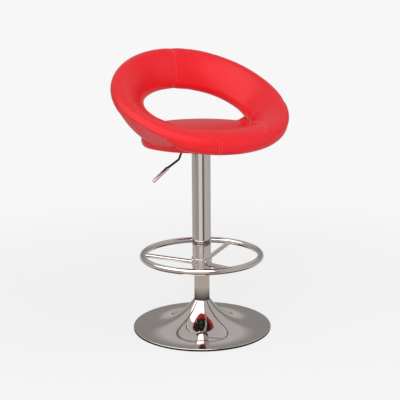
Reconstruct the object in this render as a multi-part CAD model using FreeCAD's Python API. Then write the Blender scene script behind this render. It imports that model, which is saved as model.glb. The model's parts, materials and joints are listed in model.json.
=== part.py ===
import FreeCAD, Part
import math
import os

V = FreeCAD.Vector
Z_AXIS = V(0, 0, 1)

# Height-adjustable counter stool. Millimetres, +Z up, the seat faces -Y.
# Origin: the middle of the base, on the floor. The seat is at the middle of its travel.

# General clearances
running_gap = 0.05
soft_gap = 0.4
wall_gap = 0.8
bolt_hole_gap = 0.25
cut_over = 1.0

# Base dish: spun sheet, a trumpet that rises from a flat rim to a neck round the column
base_radius = 226.0
rim_height = 7.5
neck_height = 96.0
dish_wall = 2.0
flare_power = 3.0
flare_points = 11
flare_crowding = 1.5
lip_radius = 2.0

# Rubber ring under the rim
rubber_height = 3.0
rubber_width = 13.0
rubber_inset = 0.4
rubber_rib_width = 4.0
rubber_rib_height = 1.6
rubber_rib_inset = 3.2

# Plate that closes the dish and carries the column
plate_bottom = 7.0
plate_thickness = 4.0
plate_ledge = 3.0

# Socket that holds the foot of the column
socket_flange_radius = 50.0
socket_flange_thickness = 9.0
socket_wall = 6.0
socket_height = 34.0
base_bolt_count = 3
base_bolt_circle = 41.0
base_bolt_radius = 4.0
base_bolt_head_radius = 7.0
base_bolt_head_height = 4.6
base_bolt_grip = 7.0

# Lower column
column_radius = 25.0
column_wall = 1.5
column_length = 389.0

# Plate in the column that carries the thrust bearing
end_plate_rise = 18.0
end_plate_thickness = 4.0

# Thrust bearing
race_radius = 15.0
race_thickness = 3.2
ball_radius = 2.2
ball_circle = 10.5
ball_count = 10
ball_gap = 0.02
cage_thickness = 1.8
cage_half_width = 3.2

# Gas spring
rod_radius = 5.0
rod_length = 395.0
rod_tail = 3.0
clip_thickness = 2.0
clip_radius = 9.0
washer_thickness = 1.6
washer_radius = 11.0
buffer_radius = 13.0
buffer_height = 12.0
piston_height = 20.0
piston_ring_height = 4.0
piston_ring_depth = 2.2
cylinder_radius = 14.0
cylinder_wall = 2.0
cylinder_length = 357.0
cylinder_crown = 8.0
taper_length = 34.0
taper_narrowing = 0.8
end_plug_height = 22.0
seal_height = 5.0
seal_outer_radius = 8.5
pin_radius = 4.0
pin_length = 40.0
pin_stand_out = 6.0

# Guide bush at the top of the column
column_bush_height = 40.0
column_bush_flange = 3.0
column_bush_lip = 1.6

# Pressed plate under the seat: its pan hangs from a square flange
pan_floor = 588.5
pan_depth = 22.5
flange_half_side = 82.5
flange_corner_radius = 18.0
plate_sheet = 2.5
pan_half_side = 47.0
pan_corner_radius = 8.0
plate_hole_spacing = 128.0
cone_wall = 5.0
cone_length = 32.0
cone_gap = 0.05
cylinder_rise = 3.5

# Upper tube (shroud) that slides over the column
shroud_radius = 30.0
shroud_wall = 1.2
shroud_length = 388.45
shroud_bush_height = 40.0
shroud_bush_flange = 4.0
shroud_cap_height = 12.0
shroud_cap_gap = 0.5

# Footrest
ring_rail_radius = 191.5
rail_tube_radius = 10.0
rail_wall = 1.5
rail_rise = 38.0
hub_collar_thickness = 3.0
hub_collar_rise = 7.0
hub_collar_length = 31.0
hub_edge_round = 2.0
spoke_radius = 7.0
spoke_root_rise = 15.0
spoke_count = 3
spoke_first_angle = 270.0
grub_radius = 3.0
grub_length = 3.6

# Lever, its bracket and its pivot
pivot_x = -38.0
pivot_rise = 11.0
pivot_radius = 2.5
pivot_overhang = 3.5
hub_radius = 5.5
hub_half_width = 8.5
ear_thickness = 2.0
ear_gap = 0.5
ear_half_depth = 6.0
arm_half_width = 5.0
arm_thickness = 3.6
arm_reach = 43.5
arm_gap = 0.3
slot_half_width = 7.0
slot_height = 14.0
slot_drop = 8.0
lever_rod_radius = 3.5
grip_radius = 6.0
grip_length = 66.0
grip_fit = 0.05
grip_end_round = 2.5

# Route of the lever rod from its pivot, (outward, down): straight runs, and the bend radius at each corner
lever_route = [(4.5, 0.4), (28.0, 2.0), (41.5, 34.0), (79.0, 56.0), (133.0, 96.0)]
lever_bends = [9.0, 12.0, 40.0]
grip_past_rod = 3.0

# Seat board, dust cover and their fasteners
cover_thickness = 1.0
cover_margin = 14.0
board_radius = 158.0
board_thickness = 12.0
bolt_radius = 3.0
bolt_head_radius = 5.0
bolt_head_height = 4.0
bolt_socket_radius = 2.5
bolt_socket_depth = 2.5
bolt_washer_radius = 6.5
bolt_washer_thickness = 1.5
bolt_length = 14.0
tee_barrel_radius = 4.2
tee_barrel_length = 10.0
tee_flange_radius = 9.0
tee_flange_thickness = 1.2

# Rolled edge round the board
roll_width = 29.0
roll_bulge = 7.0
roll_height = 24.0
roll_drop = 1.0

# Cushion: flat underside, drawn-in sides, crowned top. Heights are above the board
cushion_inset = 3.0
cushion_foot_inset = 7.0
cushion_edge_inset = 5.0
cushion_edge_rise = 28.0
cushion_waist_rise = 22.5
cushion_round_inset = 10.0
cushion_round_rise = 39.2
cushion_shoulder_inset = 21.0
cushion_shoulder_rise = 44.5
cushion_crown_rise = 49.5

# Padded ring: an oval section carried round the seat, rising and turning upright towards the back
ring_half_width = 226.6
ring_centre_y = 13.9
ring_reach_front = 211.3
ring_reach_back = 199.1
ring_front_rise = 21.8
ring_back_rise = 209.4
ring_rise_power = 1.2
ring_wide_front = 53.2
ring_wide_side = 69.8
ring_wide_back = 65.7
ring_thick_front = 34.7
ring_thick_back = 28.5
ring_tilt_front = -13.6
ring_tilt_back = 83.8
ring_tilt_power = 0.89
ring_end_roundness = 0.83
ring_sections = 36

# Padded side walls between the ring and the rolled edge
wall_full_angle = 84.0
wall_end_angle = 108.0
wall_start_angle = 16.0
wall_sections = 20
wall_lip_rise = 7.0
wall_inner_reach = 0.90
wall_bulge = 3.0
wall_low_bulge = 0.4
wall_foot_inset = 2.5
wall_foot_thickness = 42.5
wall_low_thickness = 32.5
wall_low_rise = 26.0
wall_join_first_angle = 40.0
wall_join_last_angle = 65.0
wall_join_width_front = 0.55
wall_join_width_side = 0.93
wall_join_depth_front = 0.80
wall_join_depth_side = 0.25

# Steel frame inside the ring and its struts
hoop_radius = 5.0
strut_radius = 5.0
strut_angles = [50.0, 80.0]
strut_foot_inset = 19.0
foot_length = 22.0
foot_width = 36.0
foot_thickness = 3.0
frame_screw_offset = 12.5
frame_screw_radius = 2.0
frame_screw_head_radius = 4.0
frame_screw_head_height = 2.0
frame_screw_length = 12.0

# Heights that follow, from the floor up
plate_top = plate_bottom + plate_thickness
column_top = plate_top + column_length
end_plate_bottom = plate_top + end_plate_rise
end_plate_top = end_plate_bottom + end_plate_thickness
lower_race_top = end_plate_top + race_thickness
ball_height = lower_race_top + ball_radius
upper_race_bottom = ball_height + ball_radius
upper_race_top = upper_race_bottom + race_thickness
washer_top = end_plate_bottom - running_gap
clip_top = washer_top - washer_thickness
rod_foot = clip_top - clip_thickness - rod_tail
rod_top = rod_foot + rod_length
piston_middle = rod_top - piston_height / 2
cylinder_top = pan_floor + cylinder_rise
cylinder_bottom = cylinder_top - cylinder_length
pin_top = cylinder_top + pin_stand_out
pan_top = pan_floor + plate_sheet
flange_top = pan_floor + pan_depth
flange_bottom = flange_top - plate_sheet
pivot_z = pan_top + pivot_rise
shroud_top = pan_floor - running_gap
shroud_bottom = shroud_top - shroud_length
hub_collar_bottom = shroud_bottom + hub_collar_rise
hub_collar_top = hub_collar_bottom + hub_collar_length
hub_middle = (hub_collar_bottom + hub_collar_top) / 2
rail_height = hub_collar_bottom + rail_rise
spoke_root_height = hub_collar_bottom + spoke_root_rise
board_bottom = flange_top + cover_thickness
board_top = board_bottom + board_thickness
roll_bottom = flange_top - roll_drop
roll_top = roll_bottom + roll_height
padding_foot = roll_top + soft_gap

# Radii that follow
neck_bore = column_radius + running_gap
neck_radius = neck_bore + dish_wall
column_bore = column_radius - column_wall
cylinder_bore = cylinder_radius - cylinder_wall
cone_outer_radius = cylinder_radius + cone_gap + cone_wall
shroud_bore = shroud_radius - shroud_wall
hub_collar_radius = shroud_radius + hub_collar_thickness
cover_radius = board_radius + cover_margin
roll_radius = board_radius + roll_width


def cylinder(radius, bottom, top, x=0.0, y=0.0):
    return Part.makeCylinder(radius, top - bottom, V(x, y, bottom), Z_AXIS)


def tube(outer, inner, bottom, top, x=0.0, y=0.0):
    return cylinder(outer, bottom, top, x, y).cut(hole(inner, bottom, top, x, y))


def hole(radius, bottom, top, x=0.0, y=0.0):
    return cylinder(radius, bottom - cut_over, top + cut_over, x, y)


def rod_between(start, end, radius):
    return Part.makeCylinder(radius, start.distanceToPoint(end), start, end.sub(start))


def face_of(edges):
    return Part.Face(Part.Wire(Part.__sortEdges__(edges)))


def revolve(face):
    return face.revolve(V(0, 0, 0), Z_AXIS, 360)


def line(a, b):
    return Part.LineSegment(a, b).toShape()


def arc(a, middle, b):
    return Part.Arc(a, middle, b).toShape()


def polygon_xz(points):
    corners = [V(x, 0, z) for x, z in points]
    return Part.Face(Part.makePolygon(corners + corners[:1]))


def polar(radius, angle, z=0.0):
    turn = math.radians(angle)
    return V(radius * math.cos(turn), radius * math.sin(turn), z)


def rounded_square(half_side, corner_radius, bottom, top):
    block = Part.makeBox(2 * half_side, 2 * half_side, top - bottom, V(-half_side, -half_side, bottom))
    upright = [e for e in block.Edges if e.BoundBox.ZLength > 0.5 * (top - bottom)]
    return block.makeFillet(corner_radius, upright)


def joined(shapes):
    whole = shapes[0]
    for shape in shapes[1:]:
        whole = whole.fuse(shape)
    return whole.removeSplitter()


def less(shape, tools):
    for tool in tools:
        shape = shape.cut(tool)
    return shape


# Base

def flare_height(radius):
    share = (base_radius - radius) / (base_radius - neck_radius)
    return rim_height + (neck_height - rim_height) * share ** flare_power


def flare_slope(radius):
    span = base_radius - neck_radius
    share = (base_radius - radius) / span
    return -flare_power * (neck_height - rim_height) / span * share ** (flare_power - 1)


def flare_point(radius, depth):
    slope = flare_slope(radius)
    length = math.hypot(slope, 1.0)
    return V(radius + slope * depth / length, 0, flare_height(radius) - depth / length)


def flare_under(radius):
    """Place along the flare whose inner face stands at this radius."""
    low, high = neck_radius, base_radius
    for _ in range(50):
        middle = (low + high) / 2
        if flare_point(middle, dish_wall).x < radius:
            low = middle
        else:
            high = middle
    return low


def flare_curve(first, last, depth):
    steps = [(i / (flare_points - 1)) ** flare_crowding for i in range(flare_points)]
    points = [flare_point(first + (last - first) * step, depth) for step in steps]
    curve = Part.BSplineCurve()
    curve.interpolate(points)
    return curve.toShape(), points[0], points[-1]


def base_dish():
    rim = base_radius - lip_radius
    outer, neck_top, lip_top = flare_curve(neck_radius, rim, 0.0)
    inner, neck_foot, inner_rim = flare_curve(flare_under(neck_bore), rim - dish_wall, dish_wall)
    corner = lip_radius * (1 - math.sqrt(0.5))
    lip_middle = V(base_radius - corner, 0, lip_top.z - corner)
    lip_side = V(base_radius, 0, lip_top.z - lip_radius)
    lip_foot = V(base_radius, 0, rubber_height)
    inner_foot = V(base_radius - dish_wall, 0, rubber_height)
    inner_corner = V(base_radius - dish_wall, 0, inner_rim.z)
    bore_top = V(neck_bore, 0, neck_top.z)
    return revolve(face_of([
        outer,
        arc(lip_top, lip_middle, lip_side),
        line(lip_side, lip_foot),
        line(lip_foot, inner_foot),
        line(inner_foot, inner_corner),
        line(inner_corner, inner_rim),
        inner,
        line(neck_foot, bore_top),
        line(bore_top, neck_top),
    ]))


def base_edge_ring():
    outer = base_radius - rubber_inset
    rib_outer = base_radius - rubber_rib_inset
    top = rubber_height + rubber_rib_height
    return revolve(polygon_xz([
        (outer - rubber_width, 0),
        (outer, 0),
        (outer, rubber_height),
        (rib_outer, rubber_height),
        (rib_outer, top),
        (rib_outer - rubber_rib_width, top),
        (rib_outer - rubber_rib_width, rubber_height),
        (outer - rubber_width, rubber_height),
    ]))


def plate_radius():
    """The radius where the inside of the dish comes down to the top of the plate."""
    low, high = neck_radius, base_radius - lip_radius
    for _ in range(50):
        middle = (low + high) / 2
        if flare_point(middle, dish_wall).z > plate_top + running_gap:
            low = middle
        else:
            high = middle
    return flare_point(low, dish_wall).x


def base_bolt_places():
    return [polar(base_bolt_circle, 90 + 360 * i / base_bolt_count) for i in range(base_bolt_count)]


def base_plate():
    radius = base_bolt_radius + running_gap
    holes = [hole(radius, plate_bottom, plate_top, p.x, p.y) for p in base_bolt_places()]
    centre = hole(column_bore - plate_ledge, plate_bottom, plate_top)
    return less(cylinder(plate_radius(), plate_bottom, plate_top), holes + [centre])


def base_socket():
    flange = cylinder(socket_flange_radius, plate_top, plate_top + socket_flange_thickness)
    top = plate_top + socket_height
    barrel = cylinder(column_radius + socket_wall, plate_top, top)
    holes = [hole(base_bolt_radius + running_gap, plate_top, top, p.x, p.y) for p in base_bolt_places()]
    return less(flange.fuse(barrel), holes + [hole(column_radius, plate_top, top)]).removeSplitter()


def hexagon(radius, bottom, top, x, y):
    corners = [V(x, y, bottom) + polar(radius, 60 * i) for i in range(6)]
    return Part.Face(Part.makePolygon(corners + corners[:1])).extrude(V(0, 0, top - bottom))


def base_bolts():
    bolts = []
    for p in base_bolt_places():
        head = hexagon(base_bolt_head_radius, plate_bottom - base_bolt_head_height, plate_bottom, p.x, p.y)
        shank_top = plate_top + base_bolt_grip
        bolts.append(head.fuse(cylinder(base_bolt_radius, plate_bottom, shank_top, p.x, p.y)))
    return Part.makeCompound(bolts)


def column_tube():
    return tube(column_radius, column_bore, plate_top, column_top)


def column_end_plate():
    return tube(column_bore, rod_radius + running_gap, end_plate_bottom, end_plate_top)


def column_bush():
    inner = cylinder_radius + running_gap
    sleeve = tube(column_bore, inner, column_top - column_bush_height, column_top)
    flange = tube(column_radius + column_bush_lip, inner, column_top, column_top + column_bush_flange)
    return sleeve.fuse(flange).removeSplitter()


# Thrust bearing

def bearing_lower_race():
    return tube(race_radius, rod_radius + running_gap, end_plate_top, lower_race_top)


def bearing_upper_race():
    return tube(race_radius, rod_radius, upper_race_bottom, upper_race_top)


def ball_places():
    return [polar(ball_circle, 360 * i / ball_count, ball_height) for i in range(ball_count)]


def bearing_cage():
    half = cage_thickness / 2
    outer = ball_circle + cage_half_width
    cage = tube(outer, ball_circle - cage_half_width, ball_height - half, ball_height + half)
    return less(cage, [Part.makeSphere(ball_radius, p) for p in ball_places()])


def bearing_balls():
    return Part.makeCompound([Part.makeSphere(ball_radius - ball_gap, p) for p in ball_places()])


# Gas spring: the rod stands in the column, the cylinder moves with the seat

def piston_rod():
    return cylinder(rod_radius, rod_foot, rod_top)


def rod_clip():
    return tube(clip_radius, rod_radius, clip_top - clip_thickness, clip_top)


def rod_washer():
    return tube(washer_radius, rod_radius, clip_top, washer_top)


def buffer_washer():
    return tube(buffer_radius, rod_radius, upper_race_top, upper_race_top + buffer_height)


def piston():
    body = tube(cylinder_bore - running_gap, rod_radius, piston_middle - piston_height / 2, rod_top)
    groove = tube(
        cylinder_bore + cut_over,
        cylinder_bore - piston_ring_depth,
        piston_middle - piston_ring_height / 2,
        piston_middle + piston_ring_height / 2,
    )
    return body.cut(groove)


def piston_ring():
    half = piston_ring_height / 2
    inner = cylinder_bore - piston_ring_depth
    return tube(cylinder_bore - running_gap, inner, piston_middle - half, piston_middle + half)


def taper_outline(grow):
    """Outside of the cylinder from its foot to its top, wider by grow all round."""
    taper_foot = cylinder_top - taper_length
    return revolve(polygon_xz([
        (0, cylinder_bottom),
        (cylinder_radius + grow, cylinder_bottom),
        (cylinder_radius + grow, taper_foot),
        (cylinder_radius - taper_narrowing + grow, cylinder_top),
        (0, cylinder_top),
    ]))


def gas_cylinder():
    wide_bore = cylinder(cylinder_bore, cylinder_bottom - cut_over, cylinder_top - taper_length)
    bore = cylinder(cylinder_bore - taper_narrowing, cylinder_bottom, cylinder_top - cylinder_crown)
    pin_bore = hole(pin_radius + running_gap, cylinder_top - pin_length, cylinder_top)
    return less(taper_outline(0.0), [wide_bore, bore, pin_bore])


def cylinder_end_plug():
    body = tube(cylinder_bore, rod_radius + running_gap, cylinder_bottom, cylinder_bottom + end_plug_height)
    top = cylinder_bottom + end_plug_height
    return body.cut(cylinder(seal_outer_radius, top - seal_height, top + cut_over))


def rod_seal():
    top = cylinder_bottom + end_plug_height
    return tube(seal_outer_radius, rod_radius + running_gap, top - seal_height, top)


def release_pin():
    return cylinder(pin_radius, pin_top - pin_length, pin_top)


# Shroud

def shroud_tube():
    body = tube(shroud_radius, shroud_bore, shroud_bottom, shroud_top)
    return less(body, [grub_hole(i, shroud_radius + cut_over) for i in range(spoke_count)])


def shroud_bush():
    inner = column_radius + running_gap
    sleeve = tube(shroud_bore, inner, shroud_bottom, shroud_bottom + shroud_bush_height)
    flange = tube(shroud_radius, inner, shroud_bottom - shroud_bush_flange, shroud_bottom)
    return sleeve.fuse(flange).removeSplitter()


def shroud_cap():
    return tube(shroud_bore, cone_outer_radius + shroud_cap_gap, shroud_top - shroud_cap_height, shroud_top)


# Footrest

def rail(radius):
    return Part.makeTorus(ring_rail_radius, radius, V(0, 0, rail_height), Z_AXIS)


def footrest_ring():
    return rail(rail_tube_radius).cut(rail(rail_tube_radius - rail_wall))


def grub_angle(index):
    return spoke_first_angle + 360.0 / spoke_count * (index + 0.5)


def grub_hole(index, reach):
    inner = polar(shroud_bore, grub_angle(index), hub_middle)
    return rod_between(inner, polar(reach, grub_angle(index), hub_middle), grub_radius)


def footrest_hub():
    collar = tube(hub_collar_radius, shroud_radius, hub_collar_bottom, hub_collar_top)
    rims = [
        e for e in collar.Edges
        if e.BoundBox.ZLength < 0.01 and e.BoundBox.XMax > shroud_radius + hub_collar_thickness / 2
    ]
    collar = collar.makeFillet(hub_edge_round, rims)
    return less(collar, [grub_hole(i, hub_collar_radius + cut_over) for i in range(spoke_count)])


def hub_grub_screws():
    screws = []
    for i in range(spoke_count):
        start = polar(shroud_bore, grub_angle(i), hub_middle)
        end = polar(shroud_bore + grub_length, grub_angle(i), hub_middle)
        screws.append(rod_between(start, end, grub_radius - running_gap))
    return Part.makeCompound(screws)


def footrest_spoke(index):
    angle = spoke_first_angle + 360.0 / spoke_count * index
    start = polar(shroud_radius, angle, spoke_root_height)
    end = polar(ring_rail_radius, angle, rail_height)
    collar = cylinder(hub_collar_radius, shroud_bottom, shroud_top)
    return less(rod_between(start, end, spoke_radius), [collar, rail(rail_tube_radius)])


# Seat plate and lever

def plate_hole_places():
    half = plate_hole_spacing / 2
    return [V(x, y, 0) for x in (-half, half) for y in (-half, half)]


def bolt_hole(place, bottom, top):
    return hole(bolt_radius + bolt_hole_gap, bottom, top, place.x, place.y)


def seat_plate():
    flange = rounded_square(flange_half_side, flange_corner_radius, flange_bottom, flange_top)
    pan = rounded_square(pan_half_side, pan_corner_radius, pan_floor, flange_top)
    top = flange_top + cut_over
    inside = rounded_square(pan_half_side - plate_sheet, pan_corner_radius - plate_sheet, pan_top, top)
    slot = Part.makeBox(
        3 * plate_sheet,
        2 * slot_half_width,
        slot_height,
        V(-pan_half_side - plate_sheet, -slot_half_width, pivot_z - slot_drop),
    )
    holes = [bolt_hole(p, flange_bottom, flange_top) for p in plate_hole_places()]
    centre = hole(cone_outer_radius, pan_floor, pan_top)
    return less(flange.fuse(pan), [inside, slot, centre] + holes).removeSplitter()


def plate_socket():
    barrel = cylinder(cone_outer_radius, cylinder_top - cone_length, cylinder_top)
    return barrel.cut(taper_outline(cone_gap))


def along_pivot(radius, half_length, shift=0.0):
    """A round bar on the lever's pivot axis, which lies along Y."""
    start = V(pivot_x, shift - half_length, pivot_z)
    return Part.makeCylinder(radius, 2 * half_length, start, V(0, 1, 0))


def lever_bracket():
    """A U-shaped clip: a foot welded to the pan floor and two ears that carry the pivot pin."""
    inner = hub_half_width + ear_gap
    outer = inner + ear_thickness
    low_x = pivot_x - ear_half_depth
    foot = Part.makeBox(2 * ear_half_depth, 2 * outer, ear_thickness, V(low_x, -outer, pan_top))
    shapes = [foot]
    for side in (-outer, inner):
        ear = Part.makeBox(2 * ear_half_depth, ear_thickness, pivot_z - pan_top, V(low_x, side, pan_top))
        crown = along_pivot(ear_half_depth, ear_thickness / 2, side + ear_thickness / 2)
        shapes += [ear, crown]
    return joined(shapes).cut(along_pivot(pivot_radius, outer + cut_over))


def lever_pivot_pin():
    return along_pivot(pivot_radius, hub_half_width + ear_gap + ear_thickness + pivot_overhang)


def lever_hub():
    """A sleeve on the pivot pin with a flat arm that reaches over the release pin."""
    sleeve = along_pivot(hub_radius, hub_half_width)
    low = V(pivot_x, -arm_half_width, pin_top + arm_gap)
    arm = Part.makeBox(arm_reach, 2 * arm_half_width, arm_thickness, low)
    bore = along_pivot(pivot_radius + running_gap, hub_half_width + cut_over)
    return sleeve.fuse(arm).cut(bore).removeSplitter()


def bent_path(points, radii):
    """Straight runs joined by tangent arcs of the given radii."""
    edges = []
    start = points[0]
    for corner, after, radius in zip(points[1:-1], points[2:], radii):
        incoming = (corner - start).normalize()
        outgoing = (after - corner).normalize()
        half_turn = incoming.getAngle(outgoing) / 2
        setback = radius * math.tan(half_turn)
        first = corner - incoming * setback
        last = corner + outgoing * setback
        inward = (outgoing - incoming).normalize()
        middle = corner + inward * (radius / math.cos(half_turn) - radius)
        edges.append(line(start, first))
        edges.append(arc(first, middle, last))
        start = last
    edges.append(line(start, points[-1]))
    return Part.Wire(edges)


def lever_points():
    return [V(pivot_x - outward, 0, pivot_z - down) for outward, down in lever_route]


def lever_end():
    points = lever_points()
    return points[-1], (points[-1] - points[-2]).normalize()


def lever_rod():
    tip, along = lever_end()
    points = lever_points()[:-1] + [tip - along * (2 * grip_past_rod)]
    direction = (points[1] - points[0]).normalize()
    section = Part.Wire(Part.makeCircle(lever_rod_radius, points[0], direction))
    rod = bent_path(points, lever_bends).makePipeShell([section], True, False)
    return rod.cut(along_pivot(hub_radius, hub_half_width + cut_over))


def lever_grip():
    tip, along = lever_end()
    start = tip - along * grip_length
    body = Part.makeCylinder(grip_radius, grip_length, start, along)
    rims = [e for e in body.Edges if isinstance(e.Curve, Part.Circle)]
    body = body.makeFillet(grip_end_round, rims)
    bore = Part.makeCylinder(lever_rod_radius + grip_fit, grip_length - grip_past_rod, start, along)
    return body.cut(bore)


# Seat board and fasteners

def dust_cover():
    holes = [bolt_hole(p, flange_top, board_bottom) for p in plate_hole_places()]
    return less(cylinder(cover_radius, flange_top, board_bottom), holes)


def seat_board():
    holes = [hole(tee_barrel_radius, board_bottom, board_top, p.x, p.y) for p in plate_hole_places()]
    depth = frame_screw_length - foot_thickness
    for p in frame_screw_places():
        holes.append(cylinder(frame_screw_radius, board_top - depth, board_top, p.x, p.y))
    return less(cylinder(board_radius, board_bottom, board_top), holes)


def plate_washers():
    bottom = flange_bottom - bolt_washer_thickness
    washers = []
    for p in plate_hole_places():
        disc = cylinder(bolt_washer_radius, bottom, flange_bottom, p.x, p.y)
        washers.append(disc.cut(bolt_hole(p, bottom, flange_bottom)))
    return Part.makeCompound(washers)


def plate_bolts():
    head_top = flange_bottom - bolt_washer_thickness
    bolts = []
    for p in plate_hole_places():
        head_foot = head_top - bolt_head_height
        head = cylinder(bolt_head_radius, head_foot, head_top, p.x, p.y)
        socket = hexagon(bolt_socket_radius, head_foot - cut_over, head_foot + bolt_socket_depth, p.x, p.y)
        shank = cylinder(bolt_radius, head_top, head_top + bolt_length, p.x, p.y)
        bolts.append(head.fuse(shank).cut(socket).removeSplitter())
    return Part.makeCompound(bolts)


def tee_nuts():
    nuts = []
    for p in plate_hole_places():
        top = board_top + tee_flange_thickness
        barrel = cylinder(tee_barrel_radius, board_top - tee_barrel_length, board_top, p.x, p.y)
        flange = cylinder(tee_flange_radius, board_top, top, p.x, p.y)
        bore = hole(bolt_radius + running_gap, board_top - tee_barrel_length, top, p.x, p.y)
        nuts.append(barrel.fuse(flange).cut(bore).removeSplitter())
    return Part.makeCompound(nuts)


# Padded ring

def blend(front, back, share, power=1.0):
    return front + (back - front) * share ** power


def smooth_share(first, last, value):
    """0 below first, 1 above last, and level at both."""
    share = min(1.0, max(0.0, (value - first) / (last - first)))
    return share * share * (3 - 2 * share)


def ring_frame_at(angle):
    """Centre, outward direction and section size of the ring, at 0 degrees in front and 180 behind."""
    turn = math.radians(angle)
    share = (1 - math.cos(turn)) / 2
    side = 4 * share * (1 - share)
    reach = ring_reach_front if math.cos(turn) > 0 else ring_reach_back
    centre = V(
        ring_half_width * math.sin(turn),
        ring_centre_y - reach * math.cos(turn),
        board_top + blend(ring_front_rise, ring_back_rise, share, ring_rise_power),
    )
    outward = V(math.sin(turn), -math.cos(turn), 0)
    tilt = math.radians(blend(ring_tilt_front, ring_tilt_back, share, ring_tilt_power))
    wide = blend(ring_wide_front, ring_wide_back, share)
    wide += side * (ring_wide_side - (ring_wide_front + ring_wide_back) / 2)
    thick = blend(ring_thick_front, ring_thick_back, share)
    across = outward * math.cos(tilt) + Z_AXIS * math.sin(tilt)
    upward = Z_AXIS * math.cos(tilt) - outward * math.sin(tilt)
    return centre, outward, across, upward, wide, thick


def oval_wire(centre, across, upward, wide, thick):
    """Four arcs: two flat ones above and below, two tight ones at the ends, tangent where they meet."""
    end_radius = ring_end_roundness * thick
    end_shift = wide - end_radius
    flat_radius = (end_shift ** 2 + thick ** 2 - end_radius ** 2) / (2 * (thick - end_radius))
    meeting = math.atan2(flat_radius - thick, end_shift)

    def end_arc(side):
        places = []
        for angle in (-meeting, 0.0, meeting):
            x = side * (end_shift + end_radius * math.cos(angle))
            y = side * end_radius * math.sin(angle)
            places.append(centre + across * x + upward * y)
        return places

    right = end_arc(1)
    left = end_arc(-1)
    return Part.Wire([
        arc(*right),
        arc(right[2], centre + upward * thick, left[0]),
        arc(*left),
        arc(left[2], centre - upward * thick, right[0]),
    ])


def ring_body(grow=0.0):
    wires = []
    for i in range(ring_sections):
        centre, _, across, upward, wide, thick = ring_frame_at(360.0 * i / ring_sections)
        wires.append(oval_wire(centre, across, upward, wide + grow, thick + grow))
    return Part.makeLoft(wires, True, False, True)


def hoop_body(radius):
    wires = []
    for i in range(ring_sections):
        angle = 360.0 * i / ring_sections
        centre, _, _, _, _, _ = ring_frame_at(angle)
        before = ring_frame_at(angle - 1.0)[0]
        after = ring_frame_at(angle + 1.0)[0]
        along = (after - before).normalize()
        sideways = along.cross(Z_AXIS).normalize()
        upward = sideways.cross(along).normalize()
        turns = [math.radians(45 * k) for k in range(8)]
        rim = [centre + (sideways * math.cos(t) + upward * math.sin(t)) * radius for t in turns]
        wires.append(Part.Wire([arc(rim[k], rim[k + 1], rim[(k + 2) % 8]) for k in (0, 2, 4, 6)]))
    return Part.makeLoft(wires, True, False, True)


# Steel frame in the ring

def strut_ends():
    """Top, foot and level direction of each strut."""
    ends = []
    for angle in strut_angles + [-a for a in strut_angles]:
        top = ring_frame_at(angle)[0]
        direction = V(top.x, top.y, 0).normalize()
        ends.append((top, direction * (board_radius - strut_foot_inset) + V(0, 0, board_top), direction))
    return ends


def foot_box(foot, direction, grow=0.0):
    length = foot_length + 2 * grow
    width = foot_width + 2 * grow
    box = Part.makeBox(length, width, foot_thickness + 2 * grow, V(-length / 2, -width / 2, -grow))
    box.rotate(V(0, 0, 0), Z_AXIS, math.degrees(math.atan2(direction.y, direction.x)))
    box.translate(foot)
    return box


def frame_screw_places():
    places = []
    for _, foot, direction in strut_ends():
        for offset in (-frame_screw_offset, frame_screw_offset):
            places.append(foot + direction.cross(Z_AXIS) * offset)
    return places


def seat_frame():
    """A steel hoop that follows the middle of the ring, on four struts with flat feet."""
    frame = hoop_body(hoop_radius)
    for top, foot, direction in strut_ends():
        board = cylinder(board_radius, board_bottom, board_top)
        frame = frame.fuse(rod_between(foot, top, strut_radius).cut(board))
        frame = frame.fuse(foot_box(foot, direction))
    gap = frame_screw_radius + running_gap
    top = board_top + foot_thickness
    return less(frame, [hole(gap, board_top, top, p.x, p.y) for p in frame_screw_places()])


def frame_clearances():
    """Room for the struts, feet and screws in the padding."""
    shapes = []
    for top, foot, direction in strut_ends():
        shapes.append(rod_between(foot, top, strut_radius + soft_gap))
        shapes.append(foot_box(foot, direction, soft_gap))
    seat = board_top + foot_thickness
    for p in frame_screw_places():
        head_top = seat + frame_screw_head_height + soft_gap
        shapes.append(cylinder(frame_screw_head_radius + soft_gap, seat, head_top, p.x, p.y))
    return shapes


def frame_screws():
    screws = []
    seat = board_top + foot_thickness
    for p in frame_screw_places():
        head = cylinder(frame_screw_head_radius, seat, seat + frame_screw_head_height, p.x, p.y)
        shank = cylinder(frame_screw_radius, seat - frame_screw_length, seat, p.x, p.y)
        screws.append(head.fuse(shank).removeSplitter())
    return Part.makeCompound(screws)


# Padding

def edge_roll():
    """A padded band round the edge of the board, rounded outside, flat against board and cover."""
    inner = board_radius + soft_gap
    cover_room = board_bottom + soft_gap
    step = cover_radius + soft_gap
    side = roll_radius - roll_bulge
    return revolve(face_of([
        line(V(inner, 0, cover_room), V(step, 0, cover_room)),
        line(V(step, 0, cover_room), V(step, 0, roll_bottom)),
        line(V(step, 0, roll_bottom), V(side, 0, roll_bottom)),
        arc(V(side, 0, roll_bottom), V(roll_radius, 0, (roll_bottom + roll_top) / 2), V(side, 0, roll_top)),
        line(V(side, 0, roll_top), V(inner, 0, roll_top)),
        line(V(inner, 0, roll_top), V(inner, 0, cover_room)),
    ]))


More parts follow.
